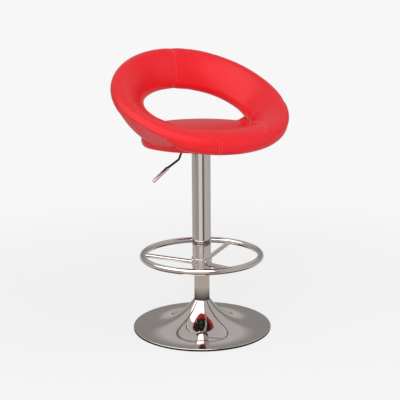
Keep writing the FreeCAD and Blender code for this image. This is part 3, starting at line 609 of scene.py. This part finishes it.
# Waves: height, how many go round the oval, and the slants of the two crossing sets in radians, for
# a degree round the seat and for a turn round the oval
WAVE, WAVES_ROUND = 0.35, 3
WAVE_SLANT, WAVE_TWIST, CROSS_SLANT = 0.13, 5.0, 0.05
LINE_STEP = 1.5
SEAM_ROOM = 2.9
COLUMNS_ROUND = 112


def degrees_round(normal):
    """An angle round the oval in degrees, from UNDERSIDE up over the outside, top and inside."""
    return (np.degrees(normal) - UNDERSIDE) % 360.0 + UNDERSIDE


def from_seam(places, seam):
    """Degrees round the seat from a seam, between -180 and 180."""
    return (places - seam + 180.0) % 360.0 - 180.0


def seam_angle(place, normal):
    """The angle round the seat of the line `place` degrees, for an angle round the oval.

    The front pair of seams leans back by FRONT_LEAN each way from the outside to the inside, the
    side pair leans forward, and both leans fade out away from their seam.
    """
    turn = degrees_round(normal)
    inside = np.interp(turn, FRONT_TURNS, INSIDE)
    front = FRONT_LEAN * (2 * smooth_step(0.0, 1.0, inside) - 1)
    inside = np.interp(turn, SIDE_TURNS, INSIDE)
    side = SIDE_LEAN_OUTSIDE + (SIDE_LEAN_INSIDE - SIDE_LEAN_OUTSIDE) * smooth_step(0.0, 1.0, inside)
    share = place / RIGHT_SEAM
    lean = front * share * np.exp((1 - share ** 2) / 2)
    fade = np.exp(-((np.abs(place) - SIDE_SEAM) / SIDE_LEAN_REACH) ** 2)
    return np.radians(place + lean + side * np.sign(place) * fade)


def cross_lines():
    """Places of the cover's lines in degrees: LINE_STEP apart, and close together at each seam."""
    # Millimetres from a seam
    near = np.array([0, 0.35, 0.7, 1.1, 1.6, 2.2, 2.8, 3.3, 3.8, 4.3, 4.9, 5.8, 7.0, 8.6])
    offsets = np.degrees(np.concatenate([-near[:0:-1], near]) / HALF_WIDTH)
    places = np.arange(-180.0, 180.0, LINE_STEP)
    for seam, _, _ in CROSS_SEAMS:
        places = places[np.abs(from_seam(places, seam)) > SEAM_ROOM]
        places = np.concatenate([places, from_seam(seam + offsets, 0.0)])
    return np.sort(places)


def seam_strength(seam, normal):
    """How far a seam shows round the oval: the front pair's left one outside, its right one on top."""
    turn = degrees_round(normal)
    if seam == LEFT_SEAM:
        return smooth_step(*LEFT_SEAM_ENDS, turn)
    if seam == RIGHT_SEAM:
        return smooth_step(*RIGHT_SEAM_BEGINS, turn)
    return np.ones_like(turn)


def cover_lift(places, share, normal, pace):
    """Height of the cover over the oval, for `pace` millimetres in a degree round the seat.

    The cover swells between the seams. A seam is a wide dip and a groove of the form
    depth * exp(-(distance / width)^2), each row of stitches is a shallower groove, and short puckers
    stand beside them.
    """
    lift = np.full(places.shape, SWELL)
    for seam, depth, stitched in CROSS_SEAMS:
        distance = from_seam(places, seam) * pace
        depth = depth * seam_strength(seam, normal)
        lift -= DIP * np.exp(-(distance / DIP_WIDTH) ** 2) * (depth / SEAM_DEPTH)
        lift -= depth * np.exp(-(distance / GROOVE_WIDTH) ** 2)
        if stitched:
            row = np.abs(distance) - STITCH_OFFSET
            lift -= ROW_SHARE * depth * np.exp(-(row / GROOVE_WIDTH) ** 2)
        folds = np.sin(share * 2 * np.pi * PUCKERS_ROUND + 3 * np.sin(share * 19 + seam))
        beside = np.exp(-((np.abs(distance) - PUCKER_PLACE) / PUCKER_WIDTH) ** 2)
        lift += PUCKER * (depth / SEAM_DEPTH) * folds * beside
    # The coating creeps over the foam in long, low waves that run aslant
    waves = np.sin(places * WAVE_SLANT + WAVE_TWIST * share)
    waves = waves * np.sin(share * 2 * np.pi * WAVES_ROUND + places * CROSS_SLANT)
    return lift + WAVE * waves


def ring_cover_point(places, share):
    """The cover's points and normals, for a place round the seat and a share of the way round the oval.

    The cover lies on the oval, raised by cover_lift. Under the side walls' skin it is pressed flat.
    """
    places, share = np.broadcast_arrays(places, share)
    normal = Sections(np.radians(places)).normal_at(share)
    angles = seam_angle(places, normal)
    points, normals = ring_point(angles, normal)
    probe = 0.1
    beside, _ = ring_point(seam_angle(places + probe, normal), normal)
    pace = np.linalg.norm(beside - points, axis=-1) / probe
    points = points + normals * cover_lift(places, share, normal, pace)[..., None]
    sections = Sections(angles.reshape(-1))
    wall = WallEnds(sections, np.abs(np.degrees(sections.angles))[:, None])
    ahead = sections.outward.reshape(points.shape)
    outward = np.sum(points * ahead, axis=-1)
    pressed_out, pressed_up = wall.press(outward.reshape(-1, 1), points[..., 2].reshape(-1, 1),
                                         PANEL_THICKNESS + SOFT_GAP)
    points = points + ahead * (pressed_out.reshape(outward.shape) - outward)[..., None]
    points[..., 2] = pressed_up.reshape(outward.shape)
    return points, normals


def ring_cover():
    """The padded ring's cover, closed round the seat and round the oval."""
    share = np.arange(COLUMNS_ROUND) / COLUMNS_ROUND
    grid, _ = ring_cover_point(cross_lines()[:, None], share)
    cover = grid_piece("ring_cover", grid, finishes["red_upholstery"])
    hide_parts("ring_pad")


# The stitches above the side walls: first and last place, distance from the wall, and height
CREASE_FIRST, CREASE_LAST = 29.0, 84.0
CREASE_OFFSET = 4.0
CREASE_LIFT = 1.4
SEAM_THREAD, CREASE_THREAD = 0.55, 0.5


def ring_stitches():
    """Two rows beside each top-stitched seam, and one above each side wall, sewn to the ring's skin."""
    rows = []
    share = np.linspace(0, 1, 241)
    for seam in [seam for seam, _, stitched in CROSS_SEAMS if stitched]:
        for side in (-1, 1):
            places = np.full_like(share, seam + np.degrees(side * STITCH_OFFSET / HALF_WIDTH))
            path, normals = ring_cover_point(places, share)
            shown = seam_strength(seam, Sections(np.radians(places)).normal_at(share)) > 0.5
            path, normals = path[shown], normals[shown]
            rows.append(stitch_points(path, normals, STITCH_SPACING, STITCH_LENGTH, SEAM_THREAD))
    turn = np.linspace(CREASE_FIRST, CREASE_LAST, 200)
    for side in (-1, 1):
        sections = Sections(np.radians(side * turn))
        above = WallEnds(sections, turn[:, None]).angle + (CREASE_OFFSET / sections.end_radius)[:, None]
        points, normals = ring_point(sections.angles[:, None], above)
        path, normals = points[:, 0] + normals[:, 0] * CREASE_LIFT, normals[:, 0]
        rows.append(stitch_points(path, normals, STITCH_SPACING, STITCH_LENGTH, CREASE_THREAD))
    stitch_piece("ring_stitches", rows, thread)


# The tub: cushion, side walls and rolled edge

ROLL_BOTTOM = 610.0
ROLL_RADIUS = 187.0
ROLL_FOOT = 180.0
ROLL_TUCK = 4.0
# How full the roll is under a side wall, where a free roll is 1, and where the change lies
ROLL_UNDER_WALL = 0.15
ROLL_FREED = (62.0, 92.0)
# A roll of at least this half height bulges in full: its cover stands out this far past its radius,
# and its profile is a sine to this power
ROLL_HALF_HEIGHT = 12.0
ROLL_EXCESS = 2.0
ROLL_FULLNESS = 0.8
# The black lining under the seat, and the recess that takes the seat board
COVER_RADIUS = 172.4
COVER_TOP = 612.4
TUB_FLOOR = 625.4
BOARD_RADIUS = 158.4
# The cushion: its middle, where the hollow begins, its shoulder and its upright edge
CROWN_HEIGHT = 673.8
CROWN_DROP = 5.0
CROWN_REACH = 118.0
SHOULDER = 166.0
EDGE_RADIUS = 182.0
EDGE_HEIGHT = 652.0
# The hollow's curve: its handles as shares of its span, its sag, and its steepest end in degrees
HOLLOW_LEAVES, HOLLOW_ARRIVES = 0.45, 0.42
HOLLOW_SAG = 0.02
HOLLOW_STEEPEST = 80.0
# Handles of the curves round the cushion's edge and down its side
EDGE_LEAVES, EDGE_DROP, EDGE_ARRIVES = 176.0, 0.8, 663.5
SIDE_LEAVES, SIDE_ARRIVES = 647.0, 638.0
SIDE_BULGE, SIDE_TUCK = 1.2, 1.5
# The ring's normal, in degrees in space, where the hollow meets it: at the front, and past the side
MEET_FRONT, MEET_BACK = 125.0, 205.0
MEET_CHANGES = (0.0, 94.0)
# Degrees round the seat between which the wall falls away inside and outside and leaves the ring
INNER_FALL = (72.0, 96.0)
OUTER_FALL = (87.0, 108.0)
LEAVES_RING = (85.0, 94.0)
LIP_SAG = 6.0
# The wall's swell as a share of its height: near the front, and the part added towards its end
WALL_SWELL, WALL_SWELL_ADDED = 0.02, 0.045
WALL_SWELLS = (66.0, 86.0)


def bezier(first, second, third, fourth, share):
    """A cubic curve from its first point to its fourth, leaving towards the second."""
    rest = 1 - share
    return (rest ** 3 * first + 3 * rest ** 2 * share * second
            + 3 * rest * share ** 2 * third + share ** 3 * fourth)


def crown(outward):
    """Height of the cushion's top: a parabola that drops by CROWN_DROP at the shoulder."""
    return CROWN_HEIGHT - CROWN_DROP * (outward / SHOULDER) ** 2


def steps(count):
    """Shares of the way along a stretch of a profile: count of them, evenly up to 1."""
    return np.linspace(0, 1, count + 1)[1:]


def between(first, second, share):
    """Each array of a pair, a share of the way from the first pair to the second."""
    return [one + (other - one) * share for one, other in zip(first, second)]


def joined(stretches, turn):
    """Stretches of a profile, each a pair of distances outward and heights, as one such pair."""
    wide = [np.broadcast_arrays(outward, height, turn)[:2] for outward, height in stretches]
    return [np.concatenate(values, axis=1) for values in zip(*wide)]


def hollow(lean, meeting):
    """From the crown up to the ring: leaves level and arrives along the ring's skin."""
    slope = np.clip(lean - np.pi / 2, 0, np.radians(HOLLOW_STEEPEST))
    begin_up = crown(CROWN_REACH)
    span = np.hypot(meeting[0] - CROWN_REACH, meeting[1] - begin_up)
    arrive = HOLLOW_ARRIVES * span
    share = steps(22)
    return (bezier(CROWN_REACH, CROWN_REACH + HOLLOW_LEAVES * span, meeting[0] - arrive * np.cos(slope),
                   meeting[0], share),
            bezier(begin_up, begin_up - HOLLOW_SAG * span, meeting[1] - arrive * np.sin(slope),
                   meeting[1], share))


def roll(sections, wall, turn):
    """Half an oval from the notch above the roll to its foot, tucked in and flatter under a wall."""
    freed = smooth_step(*ROLL_FREED, turn)
    foot = level_on_circle(sections, ROLL_FOOT) - ROLL_TUCK * (1 - freed)
    half = (wall.notch_up - ROLL_BOTTOM) / 2
    full = np.minimum(1.0, half / ROLL_HALF_HEIGHT) * (ROLL_UNDER_WALL + (1 - ROLL_UNDER_WALL) * freed)
    depth = level_on_circle(sections, ROLL_RADIUS) - (wall.notch_out + foot) / 2 + ROLL_EXCESS
    share = steps(18)
    bulge = full * depth * np.sin(np.pi * share) ** ROLL_FULLNESS
    return (wall.notch_out + (foot - wall.notch_out) * share + bulge,
            ROLL_BOTTOM + half * (1 + np.cos(np.pi * share)))


def tub_profile(sections):
    """The tub's profile in each section's plane, from the crown's middle round to the underside's.

    At the front and sides it is: the crown, a hollow that sweeps up to the ring's inside, the ring's
    underside, the side wall down to the rolled edge, and the roll. The wall falls away inside from 72
    to 96 degrees and outside from 87 to 108, and behind that the profile is a plain round-edged
    cushion on its roll. The forms are mixed point by point.
    """
    turn = np.abs(np.degrees(sections.angles))[:, None]
    inner_fall, outer_fall = smooth_step(*INNER_FALL, turn), smooth_step(*OUTER_FALL, turn)
    wall = WallEnds(sections, turn)
    top, notch = (wall.top_out, wall.top_up), (wall.notch_out, wall.notch_up)
    lean = np.radians(MEET_FRONT + (MEET_BACK - MEET_FRONT) * smooth_step(*MEET_CHANGES, turn))
    start = lean - sections.tilt[:, None]
    meeting = sections.flat_place(*sections.oval(start))
    shoulder = (SHOULDER, crown(SHOULDER))

    # The crown, the same all round, then the hollow, or the crown's own shoulder
    reach = CROWN_REACH * np.linspace(0, 1, 26) ** 0.8
    further = CROWN_REACH + (SHOULDER - CROWN_REACH) * steps(22)
    stretches = [(reach, crown(reach)),
                 between(hollow(lean, meeting), (further, crown(further)), inner_fall)]

    # Along the ring's underside, or over a free lip that sags, or round the cushion's edge
    share = steps(32)
    cup = sections.flat_place(*sections.oval(start + (wall.angle - start) * share))
    cup = wall.press(*cup, PANEL_THICKNESS)
    lip_out, lip_up = between(between(meeting, shoulder, inner_fall), top, share)
    lip = lip_out, lip_up - LIP_SAG * np.sin(np.pi * share) * (1 - outer_fall)
    edge = (bezier(SHOULDER, EDGE_LEAVES, EDGE_RADIUS, EDGE_RADIUS, share),
            bezier(shoulder[1], shoulder[1] - EDGE_DROP, EDGE_ARRIVES, EDGE_HEIGHT, share))
    stretches.append(between(between(cup, lip, smooth_step(*LEAVES_RING, turn)), edge, outer_fall))

    # Down the wall, which swells a little, or down the cushion's side, to the notch above the roll
    share = steps(28)
    swell = (WALL_SWELL + WALL_SWELL_ADDED * smooth_step(*WALL_SWELLS, turn)) * wall.length
    swell = swell * 4 * share * (1 - share)
    skin_out, skin_up = between(top, notch, share)
    side = (bezier(EDGE_RADIUS, EDGE_RADIUS + SIDE_BULGE, wall.notch_out + SIDE_TUCK,
                   wall.notch_out - SIDE_TUCK, share),
            bezier(EDGE_HEIGHT, SIDE_LEAVES, SIDE_ARRIVES, wall.notch_up, share))
    skin = skin_out + swell * wall.drop, skin_up - swell * wall.run
    stretches.append(between(skin, side, outer_fall))
    stretches.append(roll(sections, wall, turn))

    # Out of the ring's way, but for the wall that is sewn to it
    profile = joined(stretches, turn)
    apart = sections.clear(*profile, SOFT_GAP)
    outward, height = between(profile, apart, 1 - wall.hold)

    # Underside: in to the lining, up past it, in to the board, up its edge, and in to the middle
    lining = level_on_circle(sections, COVER_RADIUS)
    return joined([(outward, np.maximum(height, ROLL_BOTTOM)), (lining, ROLL_BOTTOM), (lining, COVER_TOP),
                   (BOARD_RADIUS, COVER_TOP), (BOARD_RADIUS, TUB_FLOOR),
                   (BOARD_RADIUS * (1 - steps(3)), TUB_FLOOR)], turn)


def tub_cover():
    """Cushion, side walls and rolled edge in one closed cover."""
    sections = Sections(np.radians(np.arange(-180.0, 180.0, 1.0)))
    grid = sections.place(*tub_profile(sections))
    cover = grid_piece("tub_cover", grid, finishes["red_upholstery"], poles=True)
    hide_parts("seat_cushion", "side_wall_left", "side_wall_right", "edge_roll")


ring_cover()
ring_stitches()
tub_cover()


# Floor, light and camera, in metres

PALE = "#f7f7f7"
CAMERA_TURN = -28.91
STAGE_SIDES = 96
# Radii of the floor's points, and those over which it fades out
FLOOR_RADII = [0.02, 0.4, 1.0, 1.8, 2.4, 3.0]
FLOOR_FADE = (0.5, 2.2)
# In reflections: where the floor fades out, and the edge of the painted shadow under the stool
MIRRORED_FADE = (0.6, 1.2)
MIRRORED_SHADOW_EDGE = (0.3, 0.45)
# Share of the floor's paleness that no shadow darkens for the camera
FLOOR_GLOW = 0.8
PANEL_RADIUS = 4.5
PANEL_BOTTOM, PANEL_TOP = -3.0, 5.4
# Heights over which the panels' low shades change to the middle ones, those change to the high
# ones, and the soft box begins
MIDDLE_SHADES_FROM = (0.5, 1.0)
HIGH_SHADES_FROM = (1.9, 2.6)
BOX_FROM = (1.9, 2.1)
BOX_STRENGTH = 3.6
FILL_STRENGTH = 0.48
LAMP_TARGET = np.array([0.0, 0.0, 0.55])


def ramp_over(tree, value, limits, **settings):
    """0 at the first limit, 1 at the second."""
    return add(tree, "MapRange", {"Value": value, "From Min": limits[0], "From Max": limits[1]},
               **settings).outputs[0]


def turned_stage(name, radii, heights, cap, material):
    """A profile of radii and heights turned round the stool's axis, its point number `cap` closed.

    A stage is part of the studio and not of the stool.
    """
    turn = np.linspace(0, 2 * np.pi, STAGE_SIDES, endpoint=False)
    radii, heights = np.broadcast_arrays(radii, heights)
    points = np.stack([np.outer(radii, np.cos(turn)), np.outer(radii, np.sin(turn)),
                       np.outer(heights, np.ones(STAGE_SIDES))], axis=-1)
    index = np.arange(len(radii) * STAGE_SIDES).reshape(len(radii), STAGE_SIDES)
    ahead = np.roll(index, -1, axis=1)
    quads = np.stack([index[:-1], index[1:], ahead[1:], ahead[:-1]], axis=-1).reshape(-1, 4)
    mesh = bpy.data.meshes.new(name)
    mesh.from_pydata(points.reshape(-1, 3).tolist(), [], quads.tolist() + [index[cap].tolist()])
    mesh.materials.append(material)
    stage = bpy.data.objects.new(name, mesh)
    bpy.context.scene.collection.objects.link(stage)
    return stage


def studio_floor():
    """Matt paint, pale: it fades out into the background, so that the floor has no edge.

    Reflections see only a glowing warm grey disc there, with a painted shadow under the stool.
    """
    material, tree = new_material("matt_studio_floor")
    place = add(tree, "TexCoord").outputs["Object"]
    length = add(tree, "VectorMath", {0: place}, operation="LENGTH").outputs["Value"]
    paint = add(tree, "BsdfDiffuse", {"Color": linear(PALE)}).outputs[0]
    glow = add(tree, "Emission", {"Color": linear(PALE), "Strength": 1.0}).outputs[0]
    clear = add(tree, "BsdfTransparent").outputs[0]
    path = add(tree, "LightPath").outputs
    share = add(tree, "Math", {0: path["Is Camera Ray"], 1: FLOOR_GLOW}, operation="MULTIPLY").outputs[0]
    lit = add(tree, "MixShader", {0: share, 1: paint, 2: glow}).outputs[0]
    fade = ramp_over(tree, length, FLOOR_FADE, interpolation_type="SMOOTHSTEP")
    seen = add(tree, "MixShader", {0: fade, 1: lit, 2: clear}).outputs[0]
    # Painted shadow: a near-black middle under the stool in the glowing grey that reflections see
    grey = two_colours(tree, ramp_over(tree, length, MIRRORED_SHADOW_EDGE), "#2c2828", "#cfc7bc")
    grey = add(tree, "Emission", {"Color": grey, "Strength": 1.0}).outputs[0]
    fade = ramp_over(tree, length, MIRRORED_FADE)
    mirrored = add(tree, "MixShader", {0: fade, 1: grey, 2: clear}).outputs[0]
    shown = add(tree, "MixShader", {0: path["Is Glossy Ray"], 1: seen, 2: mirrored}).outputs[0]
    add(tree, "OutputMaterial", {"Surface": shown})
    return material


def shade_ramp(tree, turn, shades):
    """Shades given by degrees to the right of the camera, over the turn round the stool."""
    ramp = add(tree, "ValToRGB", {0: turn})
    places = [-(CAMERA_TURN + right) / 360.0 % 1.0 for right, _ in shades]
    codes = [code for _, code in shades]
    first, last = ramp.color_ramp.elements
    first.position, last.position = 0.0, 1.0
    nearest = min(range(len(places)), key=lambda number: min(places[number], 1 - places[number]))
    first.color = last.color = linear(codes[nearest])
    for place, code in zip(places, codes):
        ramp.color_ramp.elements.new(place).color = linear(code)
    return ramp.outputs[0]


def studio_panels():
    """Lit paper panels round the stool: pale, grey and dark bands that the chrome reflects."""
    material, tree = new_material("studio_panels")
    place = add(tree, "TexCoord").outputs["Object"]
    x, y, height = add(tree, "SeparateXYZ", {0: place}).outputs
    # The turn round the stool runs from 0 at the seat's front to 1 there again
    turn = add(tree, "Math", {0: x, 1: y}, operation="ARCTAN2").outputs[0]
    turn = ramp_over(tree, turn, (-math.pi, math.pi))
    # Degrees to the right of the camera, and the panels' shade there below the seat's height
    low = shade_ramp(tree, turn, [
        (-180, "#c0bcba"), (-100, "#c6c2c0"), (-36, "#b0a8a4"), (-31, "#fcf6f0"), (9, "#fcf6f0"),
        (15, "#7c7471"), (22, "#4e4644"), (29, "#6f6764"), (31, "#b4b0b0"), (41, "#bab6b6"),
        (46, "#d8d4d2"), (110, "#d0cccb"), (179, "#c0bcba")])
    # Just above the seat's height the far side is darker
    middle = shade_ramp(tree, turn, [(-179, "#a09c9a"), (-110, "#a09c9a"), (-80, "#c0bcba"),
                                     (80, "#c0bcba"), (110, "#a09c9a"), (179, "#a09c9a")])
    # Higher up it is a plain grey, with a wide soft box to the left of the camera
    box = shade_ramp(tree, turn, [(-104, "#000000"), (-102, "#ffffff"), (24, "#ffffff"), (26, "#000000")])
    high = two_colours(tree, box, "#cfcccb", "#f6f4f2")
    lower = mixed_colours(tree, ramp_over(tree, height, MIDDLE_SHADES_FROM), low, middle)
    colour = mixed_colours(tree, ramp_over(tree, height, HIGH_SHADES_FROM), lower, high)
    lit = add(tree, "Math", {0: box, 1: ramp_over(tree, height, BOX_FROM)}, operation="MULTIPLY").outputs[0]
    strength = spread(tree, lit, 1.0, BOX_STRENGTH)
    glow = add(tree, "Emission", {"Color": colour, "Strength": strength}).outputs[0]
    add(tree, "OutputMaterial", {"Surface": glow})
    return material


def soft_lamp(name, bearing, elevation, distance, size, power):
    """A square area lamp that faces the stool. Bearing 0 lies towards -Y and 90 towards +X.

    Reflections see the studio's panels instead of the lamps.
    """
    lamp = bpy.data.lights.new(name, "AREA")
    lamp.shape = "SQUARE"
    lamp.size = size
    lamp.energy = power
    holder = bpy.data.objects.new(name, lamp)
    holder.visible_glossy = False
    bpy.context.scene.collection.objects.link(holder)
    a, e = math.radians(bearing), math.radians(elevation)
    back = np.array([math.sin(a) * math.cos(e), -math.cos(a) * math.cos(e), math.sin(e)])
    right = np.cross(UP, back)
    right /= np.linalg.norm(right)
    axes = np.stack([right, np.cross(back, right), back, LAMP_TARGET + back * distance], axis=1)
    holder.matrix_world = Matrix(axes.tolist() + [[0, 0, 0, 1]])


def pale_world():
    """The background is pale where the camera, metal or glass sees it, and a plain fill elsewhere."""
    world = bpy.data.worlds.new("pale_studio")
    bpy.context.scene.world = world
    world.use_nodes = True
    tree = world.node_tree
    tree.nodes.clear()
    path = add(tree, "LightPath").outputs
    seen = path["Is Camera Ray"]
    for ray in ("Is Glossy Ray", "Is Transmission Ray"):
        seen = add(tree, "Math", {0: seen, 1: path[ray]}, operation="MAXIMUM").outputs[0]
    strength = spread(tree, seen, FILL_STRENGTH, 1.0)
    back = add(tree, "Background", {"Color": linear(PALE), "Strength": strength}).outputs[0]
    add(tree, "OutputWorld", {"Surface": back})


def photo_camera():
    """The camera 2.9 m away and 1.09 m up, looking 12.7 degrees down at the front left of the seat."""
    distance, height = 2.929, 1.088
    pitch, roll_angle, yaw, turn = np.radians([12.698, -0.388, -0.086, CAMERA_TURN])
    forward = np.array([np.sin(yaw) * np.cos(pitch), np.cos(yaw) * np.cos(pitch), -np.sin(pitch)])
    right = np.array([np.cos(yaw), -np.sin(yaw), 0.0])
    rise = np.cross(right, forward)
    right, rise = (np.cos(roll_angle) * right + np.sin(roll_angle) * rise,
                   np.cos(roll_angle) * rise - np.sin(roll_angle) * right)
    axes = np.stack([right, rise, -forward, [0.0, -distance, height]], axis=1)
    spin = np.array([[np.cos(turn), -np.sin(turn), 0], [np.sin(turn), np.cos(turn), 0], [0, 0, 1]])
    lens = bpy.data.cameras.new("photo_camera")
    lens.sensor_width = 36.0
    lens.lens = 84.06
    lens.clip_end = 60.0
    camera = bpy.data.objects.new("photo_camera", lens)
    bpy.context.scene.collection.objects.link(camera)
    camera.matrix_world = Matrix((spin @ axes).tolist() + [[0, 0, 0, 1]])
    bpy.context.scene.camera = camera


turned_stage("studio_floor", FLOOR_RADII, 0.0, 0, studio_floor())
panels = turned_stage("studio_panels", PANEL_RADIUS, np.linspace(PANEL_BOTTOM, PANEL_TOP, 9), -1,
                      studio_panels())
for ray in ("camera", "diffuse", "transmission", "shadow", "volume_scatter"):
    setattr(panels, "visible_" + ray, False)
soft_lamp("key_lamp", -38.0, 22.0, 2.6, 1.5, 35.0)
soft_lamp("fill_lamp", 40.0, 14.0, 3.0, 1.6, 17.0)
soft_lamp("top_lamp", 10.0, 80.0, 2.3, 1.8, 10.0)
pale_world()
photo_camera()
bpy.context.scene.view_settings.view_transform = "Standard"
